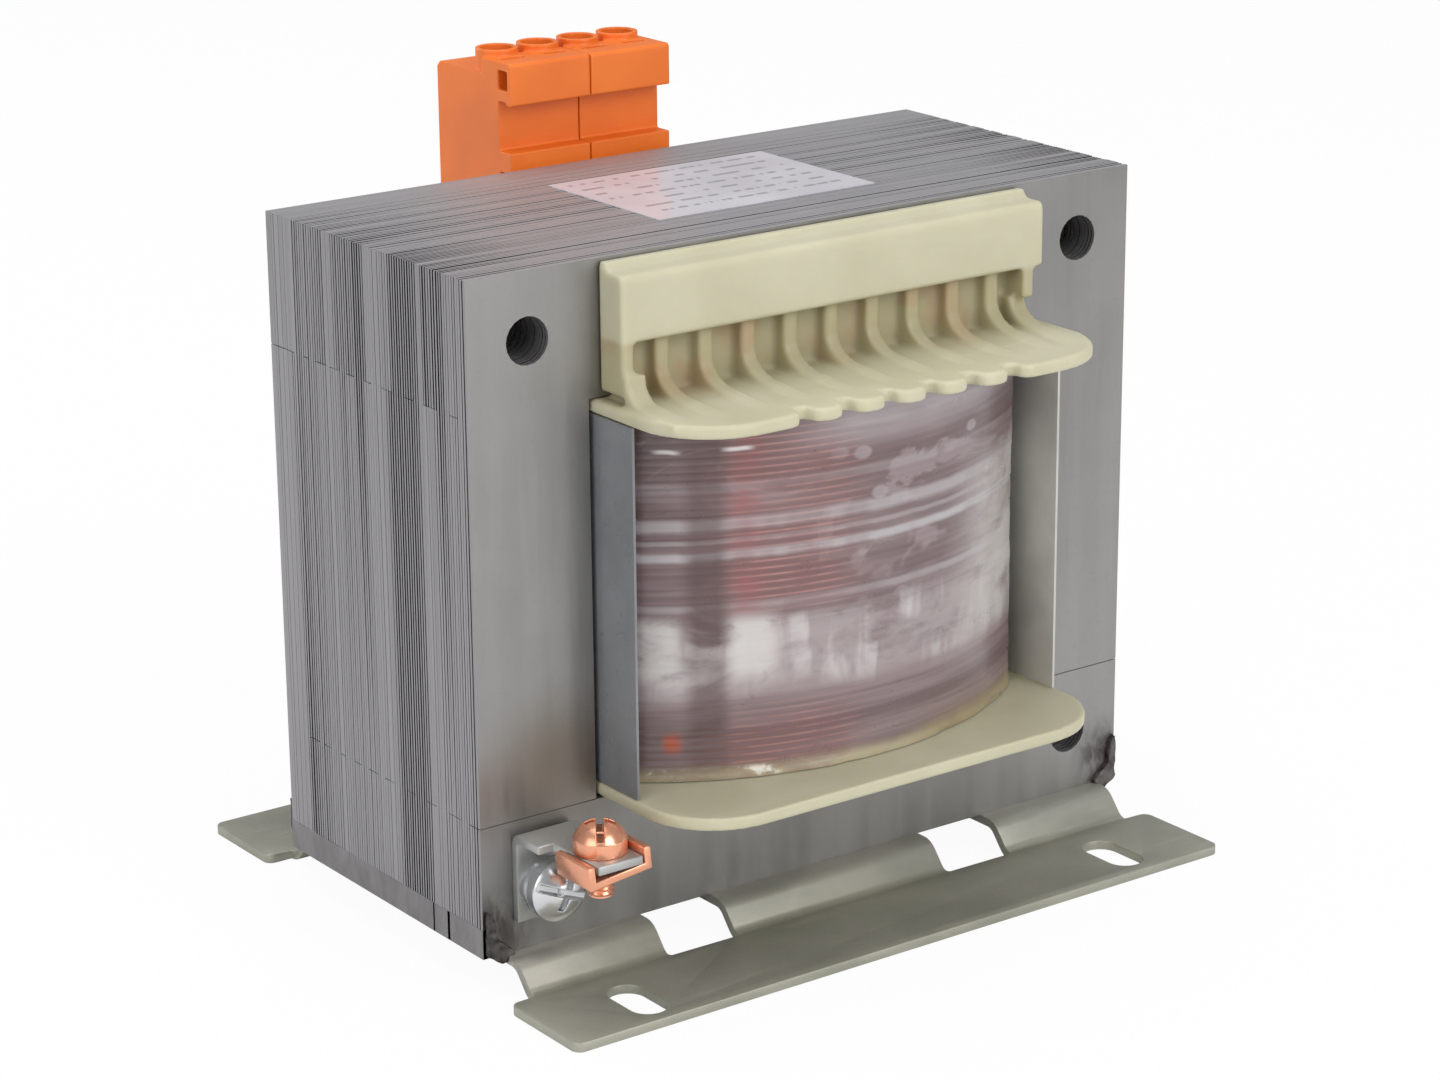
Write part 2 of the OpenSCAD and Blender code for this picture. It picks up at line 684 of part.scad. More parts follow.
module terminal_screws() {
    color([0.75, 0.75, 0.76]) for (i = [0:pole_n - 1]) translate([pole_x(i), pole_y, 0]) difference() {
        union() {
            translate([0, 0, pole_head_z]) cylinder(r = funnel_bore_r - 0.3, h = pole_head_h);
            translate([0, 0, contact_z + contact_t]) cylinder(r = pole_screw_r, h = pole_head_z - contact_z);
        }
        translate([0, 0, pole_head_z + pole_head_h])
            cube([2 * funnel_bore_r, pole_slot_w, 2 * pole_slot_d], center = true);
    }
}

module terminal_cages() {
    color([0.8, 0.78, 0.7]) for (i = [0:pole_n - 1]) translate([pole_x(i), 0, 0]) difference() {
        translate([-cage_w / 2, cage_y0, cage_z0]) cube([cage_w, cage_y1 - cage_y0, cage_z1 - cage_z0]);
        translate([-cage_w / 2 + cage_wall, cage_y0 - past, cage_z0 + cage_wall])
            cube([cage_w - 2 * cage_wall, cage_y1 - cage_y0 + 2 * past, cage_z1 - cage_z0 - cage_wall - cage_roof]);
        translate([0, pole_y, cage_z1 - cage_roof - past]) cylinder(r = pole_screw_r + 0.05, h = cage_roof + 2 * past);
    }
}

module terminal_contacts() {
    color([0.8, 0.6, 0.35]) for (i = [0:pole_n - 1]) translate([pole_x(i) - contact_w / 2, tail_y, 0]) {
        translate([0, 0, contact_z]) cube([contact_w, cage_y1 - tail_y, contact_t]);
        translate([0, 0, tail_z]) cube([contact_w, contact_t, contact_z + contact_t - tail_z]);
    }
}

// ---- Earth terminal ----

// Turns a shape drawn on +Z so that it stands on the front face and points to -Y
module on_front(x, y, z) {
    translate([x, -y, z]) rotate([90, 0, 0]) children();
}

// Pan head with a slot and a cross, drawn on the XY plane
module pan_head(r, h, turn) {
    side = h * 0.45;
    dome = h - side;
    dome_r = (r * r + dome * dome) / (2 * dome);
    rotate([0, 0, turn]) difference() {
        intersection() {
            cylinder(r = r, h = h);
            translate([0, 0, h - dome_r]) sphere(dome_r, $fn = 96);
        }
        translate([0, 0, h]) cube([2 * r + past, head_slot_w, 2 * h * head_slot_d], center = true);
        translate([0, 0, h]) cube([head_slot_w, r * head_cross_l, 2 * h * head_cross_d], center = true);
    }
}

module earth_bracket() {
    color([0.66, 0.67, 0.67]) difference() {
        union() {
            translate([bracket_x + bracket_w / 2, 0, 0]) mirror([0, 1, 0]) along_x(bracket_w)
                polygon(concat(
                    [[face_y, bracket_z0]],
                    arc(face_y + bracket_bend_r, tab_z - bracket_bend_r, bracket_bend_r, 180, 90),
                    [[face_y + tab_d, tab_z], [face_y + tab_d, tab_z - bracket_t]],
                    arc(face_y + bracket_bend_r, tab_z - bracket_bend_r, bracket_bend_r - bracket_t, 90, 180),
                    [[bracket_y, bracket_z0]]));
            translate([tongue_x, -face_y - tongue_reach, tab_z - bracket_t])
                cube([tongue_w, tongue_reach - tab_d + 1, bracket_t]);
        }
        translate([clamp_x, clamp_y, tab_z - bracket_t - past]) cylinder(r = clamp_r + 0.2, h = bracket_t + 2 * past);
        on_front(fixing_x, face_y - past, fixing_z) cylinder(r = fixing_r + 0.2, h = bracket_t + 2 * past);
    }
}

module earth_washer() {
    color([0.76, 0.77, 0.78]) on_front(fixing_x, bracket_y, fixing_z) difference() {
        cylinder(r = washer_r, h = washer_t);
        translate([0, 0, -past]) cylinder(r = fixing_r + 0.1, h = washer_t + 2 * past);
    }
}

module earth_spring_washer() {
    color([0.72, 0.73, 0.74]) on_front(fixing_x, bracket_y + washer_t, fixing_z) difference() {
        cylinder(r = washer_r - 0.4, h = spring_t);
        translate([0, 0, -past]) cylinder(r = fixing_r + 0.1, h = spring_t + 2 * past);
        rotate([0, 0, 40]) translate([0, -0.3, -past]) cube([2 * washer_r, 0.6, spring_t + 2 * past]);
    }
}

module earth_fixing_screw() {
    color([0.8, 0.81, 0.82]) {
        on_front(fixing_x, fixing_head_y, fixing_z) pan_head(fixing_head_r, fixing_head_h, fixing_turn);
        on_front(fixing_x, -fixing_tip_y, fixing_z)
            cylinder(r = fixing_r, h = fixing_head_y + fixing_tip_y + shank_root);
    }
}

module earth_rear_washer() {
    color([0.76, 0.77, 0.78]) on_front(fixing_x, -face_y - washer_t, fixing_z) difference() {
        cylinder(r = washer_r, h = washer_t);
        translate([0, 0, -past]) cylinder(r = fixing_r + 0.1, h = washer_t + 2 * past);
    }
}

module earth_nut() {
    color([0.76, 0.77, 0.78]) on_front(fixing_x, -face_y - washer_t - nut_t, fixing_z) difference() {
        cylinder(r = (fixing_r + 1.5) / cos(30), h = nut_t, $fn = 6);
        translate([0, 0, -past]) cylinder(r = fixing_r + 0.03, h = nut_t + 2 * past);
    }
}

// The saddle leans: its right side touches the tongue, its left side hangs lower
module earth_saddle() {
    ear_h = bracket_t + saddle_gap + saddle_ear;
    side = (saddle_w - tongue_w) / 2;
    color([0.86, 0.52, 0.38]) difference() {
        translate([tongue_x + tongue_w, saddle_y, saddle_z1]) rotate([0, -saddle_tilt, 0])
            translate([side - saddle_w / 2, 0, 0]) difference() {
                translate([-saddle_w / 2, -saddle_l / 2, -saddle_t]) cube([saddle_w, saddle_l, saddle_t + ear_h]);
                translate([-saddle_w / 2 + saddle_t, -saddle_l / 2 - past, 0])
                    cube([saddle_w - 2 * saddle_t, saddle_l + 2 * past, ear_h + past]);
            }
        translate([clamp_x, clamp_y, tab_z - clamp_l]) cylinder(r = clamp_r + 0.05, h = clamp_l);
    }
}

module earth_clamp_screw() {
    color([0.85, 0.5, 0.36]) translate([clamp_x, clamp_y, 0]) {
        translate([0, 0, tab_z]) pan_head(clamp_head_r, clamp_head_h, clamp_turn);
        translate([0, 0, tab_z - clamp_l]) cylinder(r = clamp_r, h = clamp_l + shank_root);
    }
}

// ---- Label ----

module rating_label() {
    color([0.93, 0.93, 0.92]) translate([1.6, 0.8, core_top + label_t / 2])
        cube([label_w, label_d, label_t], center = true);
}

e_laminations_upright();
e_laminations_inverted();
i_laminations_bottom();
i_laminations_top();
weld_seams();
foot_welds();
foot_front();
foot_rear();
bobbin();
inner_winding();
winding_barrier();
outer_winding();
outer_tape();
liner_left();
liner_right();
lead_1();
lead_2();
lead_3();
lead_4();
terminal_block_left();
terminal_block_right();
terminal_screws();
terminal_cages();
terminal_contacts();
earth_bracket();
earth_fixing_screw();
earth_spring_washer();
earth_washer();
earth_rear_washer();
earth_nut();
earth_saddle();
earth_clamp_screw();
rating_label();
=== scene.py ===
"""Finished look of the laminated chassis transformer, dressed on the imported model."""
from math import pi, radians, sin

import bmesh
import bpy
from mathutils import Matrix, Quaternion, Vector, noise


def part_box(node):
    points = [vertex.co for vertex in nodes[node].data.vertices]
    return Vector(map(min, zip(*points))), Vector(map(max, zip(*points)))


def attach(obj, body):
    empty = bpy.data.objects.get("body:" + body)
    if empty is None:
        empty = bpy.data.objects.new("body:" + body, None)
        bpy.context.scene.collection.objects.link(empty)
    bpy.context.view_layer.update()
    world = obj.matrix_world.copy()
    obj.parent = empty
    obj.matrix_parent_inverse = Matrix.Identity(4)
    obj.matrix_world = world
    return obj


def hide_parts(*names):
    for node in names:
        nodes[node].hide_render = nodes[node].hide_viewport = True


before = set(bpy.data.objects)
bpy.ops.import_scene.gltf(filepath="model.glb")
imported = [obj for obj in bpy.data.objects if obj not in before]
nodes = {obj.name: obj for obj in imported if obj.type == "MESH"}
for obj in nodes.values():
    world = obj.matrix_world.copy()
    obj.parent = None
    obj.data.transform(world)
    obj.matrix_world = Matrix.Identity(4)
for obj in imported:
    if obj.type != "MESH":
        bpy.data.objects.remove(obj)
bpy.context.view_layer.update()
mm = 0.001

# ---------------------------------------------------------------- camera
camera_from = Vector((-0.3318, -0.4605, 0.2318))
camera_at = Vector((0.00044, -0.00224, 0.05062))
camera_data = bpy.data.cameras.new("camera")
camera_data.lens = 96.9
camera_data.sensor_width = 36.0
camera_data.clip_start = 0.01
camera = bpy.data.objects.new("camera", camera_data)
bpy.context.scene.collection.objects.link(camera)
camera.location = camera_from
camera.rotation_mode = "QUATERNION"
aim = (camera_at - camera_from).to_track_quat("-Z", "Y")
camera.rotation_quaternion = aim @ Quaternion((0, 0, 1), radians(-0.48))
bpy.context.scene.camera = camera

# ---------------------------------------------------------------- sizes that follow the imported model
core_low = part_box("e_laminations_inverted")[0]
core_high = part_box("e_laminations_upright")[1]
half_w = core_high.x
core_z = core_low.z
core_top = core_high.z
front_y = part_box("e_laminations_upright")[0].y
rear_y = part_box("e_laminations_inverted")[1].y
leg_w = 20 * mm
yoke_h = 20 * mm
hole_inset = 10 * mm
hole_r = 3.5 * mm
coil_low, coil_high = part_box("outer_tape")


# ---------------------------------------------------------------- material tools
class Finish:
    """A procedural material: each call adds one node and returns its output."""

    def __init__(self, name, **sockets):
        self.material = bpy.data.materials.new(name)
        self.material.use_nodes = True
        self.tree = self.material.node_tree
        self.tree.nodes.clear()
        self.out = self.tree.nodes.new("ShaderNodeOutputMaterial")
        self.shader = self.tree.nodes.new("ShaderNodeBsdfPrincipled")
        self.tree.links.new(self.shader.outputs["BSDF"], self.out.inputs["Surface"])
        for socket, value in sockets.items():
            self.shader.inputs[socket.replace("_", " ")].default_value = value
        self.where = self.add("ShaderNodeTexCoord").outputs["Object"]

    def add(self, kind, **settings):
        node = self.tree.nodes.new(kind)
        for key, value in settings.items():
            setattr(node, key, value)
        return node

    def feed(self, socket, value):
        if isinstance(value, bpy.types.NodeSocket):
            self.tree.links.new(value, socket)
        else:
            socket.default_value = value

    def place(self, scale=(1, 1, 1), shift=(0, 0, 0), turn=(0, 0, 0)):
        node = self.add("ShaderNodeMapping")
        self.feed(node.inputs["Vector"], self.where)
        node.inputs["Scale"].default_value = scale
        node.inputs["Location"].default_value = shift
        node.inputs["Rotation"].default_value = turn
        return node.outputs["Vector"]

    def noise(self, scale=(1, 1, 1), detail=3.0, rough=0.5, shift=(0, 0, 0), warp=0.0):
        node = self.add("ShaderNodeTexNoise")
        self.feed(node.inputs["Vector"], self.place(scale, shift))
        node.inputs["Scale"].default_value = 1.0
        node.inputs["Detail"].default_value = detail
        node.inputs["Roughness"].default_value = rough
        node.inputs["Distortion"].default_value = warp
        return node.outputs["Fac"]

    def cells(self, scale=(1, 1, 1), feature="F1"):
        node = self.add("ShaderNodeTexVoronoi", feature=feature)
        self.feed(node.inputs["Vector"], self.place(scale))
        node.inputs["Scale"].default_value = 1.0
        return node.outputs["Distance"]

    def axis(self, name):
        node = self.add("ShaderNodeSeparateXYZ")
        self.feed(node.inputs[0], self.where)
        return node.outputs[name]

    def band(self, value, low, high, out_low=0.0, out_high=1.0, soft=True):
        node = self.add("ShaderNodeMapRange", interpolation_type="SMOOTHSTEP" if soft else "LINEAR")
        self.feed(node.inputs["Value"], value)
        for key, number in (("From Min", low), ("From Max", high), ("To Min", out_low), ("To Max", out_high)):
            node.inputs[key].default_value = number
        return node.outputs["Result"]

    def window(self, value, low, high, soft):
        """One between low and high, nothing outside."""
        rise = self.band(value, low - soft, low + soft)
        fall = self.band(value, high - soft, high + soft, 1.0, 0.0)
        return self.math("MULTIPLY", rise, fall)

    def product(self, *values):
        result = values[0]
        for value in values[1:]:
            result = self.math("MULTIPLY", result, value)
        return result

    def math(self, how, a, b=0.0, c=0.0):
        node = self.add("ShaderNodeMath", operation=how)
        for socket, value in zip(node.inputs, (a, b, c)):
            self.feed(socket, value)
        return node.outputs["Value"]

    def blend(self, factor, a, b, how="MIX"):
        node = self.add("ShaderNodeMix", data_type="RGBA", blend_type=how)
        self.feed(node.inputs["Factor"], factor)
        self.feed(node.inputs["A"], a if isinstance(a, bpy.types.NodeSocket) else (*a, 1.0))
        self.feed(node.inputs["B"], b if isinstance(b, bpy.types.NodeSocket) else (*b, 1.0))
        return node.outputs["Result"]

    def near(self, point, reach, out_near=1.0):
        node = self.add("ShaderNodeVectorMath", operation="DISTANCE")
        self.feed(node.inputs[0], self.where)
        node.inputs[1].default_value = point
        return self.band(node.outputs["Value"], reach * 0.15, reach, out_near, 0.0)

    def tone(self, name="tone"):
        return self.add("ShaderNodeAttribute", attribute_name=name).outputs["Fac"]

    def colour(self, value):
        self.feed(self.shader.inputs["Base Color"], value)

    def rough(self, value):
        self.feed(self.shader.inputs["Roughness"], value)

    def bump(self, height, depth, strength=1.0):
        node = self.add("ShaderNodeBump")
        node.inputs["Strength"].default_value = strength
        node.inputs["Distance"].default_value = depth
        self.feed(node.inputs["Height"], height)
        self.feed(self.shader.inputs["Normal"], node.outputs["Normal"])


def rolled_steel():
    f = Finish("rolled_steel", Metallic=0.85)
    grain = f.noise((900, 60, 900), 4, 0.6)
    streak = f.noise((260, 8, 14), 4, 0.6)
    cloud = f.noise((26, 26, 20), 3, 0.55)
    smear = f.noise((260, 260, 130), 3, 0.6, warp=0.5)
    c = f.blend(f.band(cloud, 0.3, 0.7), (0.255, 0.249, 0.242), (0.325, 0.318, 0.308))
    c = f.blend(f.band(streak, 0.35, 0.7, 0.0, 0.3), c, (0.40, 0.392, 0.382))
    c = f.blend(f.band(grain, 0.55, 0.75, 0.0, 0.12), c, (0.17, 0.165, 0.16))
    tint = f.math("MULTIPLY", f.near((-0.0455, front_y, 0.0315), 0.016), f.band(cloud, 0.2, 0.8, 0.5, 1.0))
    c = f.blend(f.math("MULTIPLY", tint, 0.75), c, (0.16, 0.105, 0.055))
    # painted shade: the steel darkens towards the top of the core
    c = f.blend(f.band(f.axis("Z"), 0.070, 0.104, 0.0, 0.22), c, (0.20, 0.197, 0.196))
    # soot round the corner welds
    for x in (-1, 1):
        for y in (front_y, rear_y):
            reach = f.near((x * (half_w - 0.0025), y, core_z + 0.004), 0.0085)
            soot = f.product(reach, f.band(smear, 0.35, 0.6, 0.15, 0.9))
            c = f.blend(soot, c, (0.075, 0.066, 0.062))
    f.colour(c)
    f.rough(f.band(streak, 0.3, 0.7, 0.38, 0.50))
    f.bump(grain, 0.00001, 0.3)
    return f.material


def cut_edges(name, dark, light, smudge, lines=0.3):
    """Punched edges of the sheets, with a tone of its own on each sheet."""
    f = Finish(name, Metallic=0.75)
    line = f.noise((30, 5200, 8), 2, 0.7)
    smear = f.noise((70, 90, 16), 4, 0.6)
    c = f.blend(f.tone(), dark, light)
    c = f.blend(f.band(line, 0.45, 0.68, 0.0, lines), c, tuple(0.6 * v for v in dark))
    c = f.blend(f.band(smear, 0.45, 0.75, 0.0, 0.45), c, smudge)
    f.colour(c)
    f.rough(f.band(line, 0.3, 0.7, 0.42, 0.56))
    f.bump(line, 0.00003, 0.4)
    return f.material


def fused_seam():
    f = Finish("fused_seam", Metallic=0.75)
    lump = f.noise((160, 320, 160), 4, 0.6)
    f.colour(f.blend(f.band(lump, 0.3, 0.7), (0.20, 0.19, 0.192), (0.29, 0.28, 0.282)))
    f.rough(f.band(lump, 0.3, 0.7, 0.42, 0.55))
    f.bump(lump, 0.0001, 0.5)
    return f.material


def burnt_weld():
    f = Finish("burnt_weld", Metallic=0.4)
    lump = f.noise((900, 900, 900), 4, 0.6)
    rim = f.noise((300, 300, 300), 3, 0.5)
    c = f.blend(f.band(lump, 0.35, 0.65), (0.030, 0.026, 0.025), (0.085, 0.074, 0.070))
    c = f.blend(f.band(rim, 0.5, 0.68, 0.0, 0.7), c, (0.17, 0.155, 0.148))
    f.colour(c)
    f.rough(f.band(lump, 0.3, 0.7, 0.3, 0.6))
    f.bump(lump, 0.0001, 0.5)
    return f.material


def pressed_zinc(name="pressed_zinc", light=(0.46, 0.452, 0.395), dark=(0.33, 0.326, 0.285), metallic=0.5):
    f = Finish(name, Metallic=metallic)
    cloud = f.noise((45, 60, 60), 4, 0.6)
    fine = f.noise((2500, 2500, 2500), 2, 0.6)
    rub = f.noise((30, 300, 300), 3, 0.6)
    z = f.axis("Z")
    c = f.blend(f.band(cloud, 0.3, 0.7), dark, light)
    c = f.blend(f.band(rub, 0.58, 0.75, 0.0, 0.4), c, tuple(v * 1.35 for v in light))
    # the foot is lighter over the top of the web and darker, more olive towards the bottom
    olive = tuple(v * t for v, t in zip(dark, (0.95, 0.95, 0.80)))
    c = f.blend(f.band(z, 0.0012, 0.0046, 0.35, 0.0), c, olive)
    f.colour(c)
    f.rough(f.band(fine, 0.3, 0.7, 0.38, 0.5))
    f.bump(cloud, 0.00015, 0.3)
    return f.material


def cream_nylon():
    f = Finish("cream_nylon", Subsurface_Weight=0.3, Subsurface_Scale=0.003, Specular_IOR_Level=0.45)
    f.shader.inputs["Subsurface Radius"].default_value = (1.0, 0.9, 0.45)
    cloud = f.noise((60, 60, 60), 4, 0.55)
    flow = f.noise((25, 140, 220), 3, 0.6, warp=0.6)
    warm = f.noise((110, 70, 90), 3, 0.5)
    depth = f.math("ABSOLUTE", f.axis("Y"))
    c = f.blend(f.band(cloud, 0.3, 0.75), (0.505, 0.478, 0.338), (0.560, 0.534, 0.392))
    c = f.blend(f.band(flow, 0.55, 0.8, 0.0, 0.3), c, (0.62, 0.60, 0.46))
    # painted shade: the recess behind the ribs is darker and warmer
    recess_shade = f.product(f.band(depth, 0.0300, 0.0400, 1.0, 0.0), f.window(f.axis("Z"), 0.0852, 0.0942, 0.0006))
    c = f.blend(f.math("MULTIPLY", recess_shade, 0.75), c, (0.37, 0.325, 0.18))
    c = f.blend(f.product(recess_shade, f.band(warm, 0.5, 0.62, 0.0, 0.6)), c, (0.42, 0.29, 0.17))
    f.colour(c)
    f.rough(f.band(cloud, 0.3, 0.7, 0.4, 0.52))
    f.bump(f.noise((300, 300, 300), 3, 0.5), 0.0001, 0.25)
    return f.material


def taped_wire():
    """Enamelled wire under clear tape: copper where the tape has wetted, pale where air sits under it."""
    f = Finish("taped_wire", Coat_Weight=0.5, Coat_Roughness=0.22)
    x, z = f.axis("X"), f.axis("Z")
    low, high = coil_low.z, coil_high.z
    streak = f.noise((14, 14, 380), 3, 0.6, warp=0.15)
    broad = f.noise((26, 26, 120), 3, 0.55, warp=0.4)
    patch = f.noise((48, 48, 95), 4, 0.6, shift=(3, 1, 7), warp=0.7)
    blot = f.noise((130, 130, 240), 4, 0.6, warp=0.5)
    pleat = f.noise((170, 170, 34), 3, 0.55, warp=0.5)
    along = f.noise((55, 55, 12), 3, 0.6)
    drift = f.math("MULTIPLY", f.math("SUBTRACT", along, 0.5), 0.030)
    height = f.math("ADD", f.band(z, low, high, 0, 1, soft=False), drift)
    bare_side = f.window(x, -0.0245, -0.0050, 0.0055)
    upper = f.band(height, 0.40, 0.50)
    foot = f.band(height, 0.10, 0.24, 1.0, 0.0)
    turns = f.math("SINE", f.math("MULTIPLY", f.math("SUBTRACT", z, low), 2 * pi / wire_pitch))
    # wire seen through the tape, drawn out in long soft streaks
    c = f.blend(f.band(streak, 0.34, 0.66), (0.125, 0.080, 0.083), (0.250, 0.184, 0.190))
    c = f.blend(f.product(f.band(broad, 0.38, 0.58), upper, 0.75), c, (0.118, 0.068, 0.070))
    c = f.blend(f.product(f.band(patch, 0.56, 0.62), f.band(height, 0.45, 0.55), 0.7), c, (0.285, 0.225, 0.232))
    wetted = f.math("MAXIMUM", f.product(bare_side, upper), f.product(bare_side, foot))
    wet = f.product(wetted, f.band(broad, 0.35, 0.6, 0.45, 1.0))
    c = f.blend(f.math("MULTIPLY", wet, 0.62), c, (0.215, 0.078, 0.076))
    shown = f.math("ADD", f.math("MULTIPLY", wet, 0.6), 0.10)
    # painted highlight on the crests of the turns and painted shade between them
    crest_highlight = f.product(f.band(turns, 0.35, 1.0), shown, f.band(blot, 0.35, 0.6, 0.25, 1.0))
    c = f.blend(crest_highlight, c, (0.42, 0.22, 0.20))
    c = f.blend(f.product(f.band(turns, 0.2, -1.0), shown, 0.5), c, (0.095, 0.050, 0.052))
    red = f.product(f.window(x, -0.0228, -0.0195, 0.0026), upper,
                    f.band(blot, 0.38, 0.62, 0.15, 0.8), f.band(streak, 0.35, 0.6, 0.35, 1.0))
    c = f.blend(red, c, (0.28, 0.075, 0.078))
    # air under the tape: milky patches, thickest in the lower middle and down the right side
    milky = f.window(height, 0.235, 0.430, 0.035)
    milk = f.product(milky, f.band(blot, 0.30, 0.58, 0.30, 1.0))
    c = f.blend(f.math("MULTIPLY", milk, 0.72), c, (0.37, 0.318, 0.318))
    wrinkle = f.product(milky, f.band(pleat, 0.46, 0.60), f.band(patch, 0.36, 0.60))
    c = f.blend(f.math("MULTIPLY", wrinkle, 0.75), c, (0.54, 0.505, 0.50))
    ends = f.math("MAXIMUM", f.window(x, -0.0350, -0.0300, 0.0012), f.window(x, -0.0235, -0.0170, 0.0020))
    lifted = f.product(ends, f.window(height, 0.28, 0.44, 0.03), f.band(blot, 0.34, 0.56, 0.2, 0.9))
    c = f.blend(lifted, c, (0.56, 0.53, 0.51))
    right = f.product(f.band(x, 0.012, 0.032), f.window(height, 0.24, 0.72, 0.06),
                      f.band(patch, 0.34, 0.54, 0.25, 1.0))
    c = f.blend(f.math("MULTIPLY", right, 0.85), c, (0.54, 0.51, 0.485))
    dots = f.product(f.band(f.cells((120, 120, 190)), 0.15, 0.23, 0.7, 0.0), f.band(x, -0.012, 0.0), upper)
    c = f.blend(dots, c, (0.34, 0.285, 0.30))
    # pale tape film near the top, partly a painted reflection of the tape's upper edge
    film_and_reflection = f.product(f.band(height, 0.84, 0.95), f.band(x, -0.022, 0.0),
                    f.band(broad, 0.35, 0.62, 0.35, 0.95))
    c = f.blend(film_and_reflection, c, (0.47, 0.425, 0.445))
    # painted highlights along the edges of the tape
    for level, half, share in ((0.615, 0.011, 0.80), (0.70, 0.016, 0.60), (0.655, 0.006, 0.35),
                               (0.475, 0.009, 0.40), (0.80, 0.010, 0.22)):
        off = f.math("ABSOLUTE", f.math("SUBTRACT", height, level))
        tape_edge_highlight = f.product(f.band(off, half * 0.4, half * 1.7, share, 0.0), f.band(along, 0.38, 0.58, 0.35, 1.0))
        c = f.blend(tape_edge_highlight, c, (0.47, 0.44, 0.45))
    shade = f.math("MAXIMUM", f.window(x, -0.0288, -0.0238, 0.0014), f.band(x, -0.0366, -0.0350, 0.85, 0.0))
    c = f.blend(f.product(shade, f.band(patch, 0.3, 0.65, 0.95, 0.45)), c, (0.082, 0.042, 0.043))
    glints = f.math("MAXIMUM", f.window(x, -0.0325, -0.0298, 0.0008), f.window(x, -0.0238, -0.0203, 0.0010))
    c = f.blend(f.product(glints, f.window(height, 0.896, 0.906, 0.004), 0.8), c, (0.85, 0.83, 0.82))
    scorch = f.product(f.window(x, -0.0318, -0.0298, 0.0008), f.window(height, 0.085, 0.130, 0.018),
                       f.band(blot, 0.3, 0.5, 0.4, 1.0))
    c = f.blend(scorch, c, (0.40, 0.075, 0.030))
    # varnish that has run to the lower cheek
    glue = f.band(height, 0.010, 0.050, 0.95, 0.0)
    c = f.blend(f.product(glue, f.band(blot, 0.35, 0.6, 0.55, 1.0)), c, (0.44, 0.385, 0.25))
    # painted glints on the varnish run at the foot of the coil
    glue_glint = f.product(f.window(height, 0.004, 0.030, 0.008), f.band(blot, 0.48, 0.56), f.band(x, -0.010, -0.020))
    c = f.blend(glue_glint, c, (0.80, 0.76, 0.68))
    amber = f.product(f.band(x, 0.000, 0.024), f.band(height, 0.015, 0.085, 0.8, 0.0),
                      f.band(patch, 0.35, 0.6, 0.5, 1.0))
    c = f.blend(amber, c, (0.31, 0.235, 0.115))
    f.colour(c)
    f.rough(f.band(blot, 0.3, 0.7, 0.26, 0.46))
    f.bump(f.math("ADD", patch, f.math("MULTIPLY", pleat, 0.5)), 0.0003, 0.4)
    return f.material


def plain(name, base, rough=0.5, metallic=0.0, vary=0.12, grain=900, depth=0.00003, **sockets):
    f = Finish(name, Metallic=metallic, **sockets)
    cloud = f.noise((90, 90, 90), 3, 0.55)
    fine = f.noise((grain, grain, grain), 2, 0.6)
    dark = tuple(v * (1 - vary) for v in base)
    light = tuple(min(1, v * (1 + vary)) for v in base)
    f.colour(f.blend(f.band(cloud, 0.3, 0.7), dark, light))
    f.rough(f.band(fine, 0.3, 0.7, rough * 0.85, rough * 1.15))
    f.bump(fine, depth, 0.4)
    return f.material


def orange_polyamide():
    f = Finish("orange_polyamide", Subsurface_Weight=0.1, Subsurface_Scale=0.0015, Specular_IOR_Level=0.5)
    f.shader.inputs["Subsurface Radius"].default_value = (1.0, 0.35, 0.1)
    cloud = f.noise((70, 70, 70), 3, 0.5)
    f.colour(f.blend(f.band(cloud, 0.3, 0.7), (0.76, 0.155, 0.012), (0.85, 0.188, 0.018)))
    f.rough(f.band(cloud, 0.3, 0.7, 0.36, 0.46))
    f.bump(f.noise((500, 500, 500), 3, 0.5), 0.00005, 0.3)
    return f.material


def ruled_label():
    """Plain stock with broken grey rules and no words."""
    f = Finish("ruled_label", Coat_Weight=0.3)
    x, y = f.axis("X"), f.axis("Y")
    low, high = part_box("rating_label")
    cloud = f.noise((60, 60, 60), 2, 0.5)
    c = f.blend(f.band(cloud, 0.3, 0.7), (0.55, 0.525, 0.565), (0.64, 0.615, 0.655))
    inside = f.product(f.window(x, low.x + 0.002, high.x - 0.003, 0.00005),
                       f.window(y, low.y + 0.002, high.y - 0.002, 0.00005))
    row = f.math("DIVIDE", y, 0.0036)
    rule = f.math("ABSOLUTE", f.math("SUBTRACT", f.math("FRACT", row), 0.5))
    step = f.add("ShaderNodeCombineXYZ")
    f.feed(step.inputs["X"], f.math("MULTIPLY", x, 420.0))
    f.feed(step.inputs["Y"], f.math("MULTIPLY", f.math("FLOOR", row), 7.3))
    dashes = f.add("ShaderNodeTexNoise")
    f.feed(dashes.inputs["Vector"], step.outputs["Vector"])
    dashes.inputs["Scale"].default_value = 1.0
    dashes.inputs["Detail"].default_value = 2.0
    broken = f.band(dashes.outputs["Fac"], 0.47, 0.50)
    c = f.blend(f.product(inside, f.band(rule, 0.10, 0.14, 0.7, 0.0), broken), c, (0.20, 0.19, 0.21))
    f.colour(c)
    f.rough(0.32)
    return f.material


def varnish_gap_shade():
    """Dark insulation on the broad faces of the sheets, painted near-black as the shade in the gaps and the bores,
    where alone it is seen.
    """
    f = Finish("varnish_gap_shade", Metallic=0.2)
    cloud = f.noise((90, 90, 90), 3, 0.5)
    f.colour(f.blend(f.band(cloud, 0.3, 0.7), (0.010, 0.010, 0.011), (0.022, 0.021, 0.022)))
    f.rough(0.6)
    return f.material


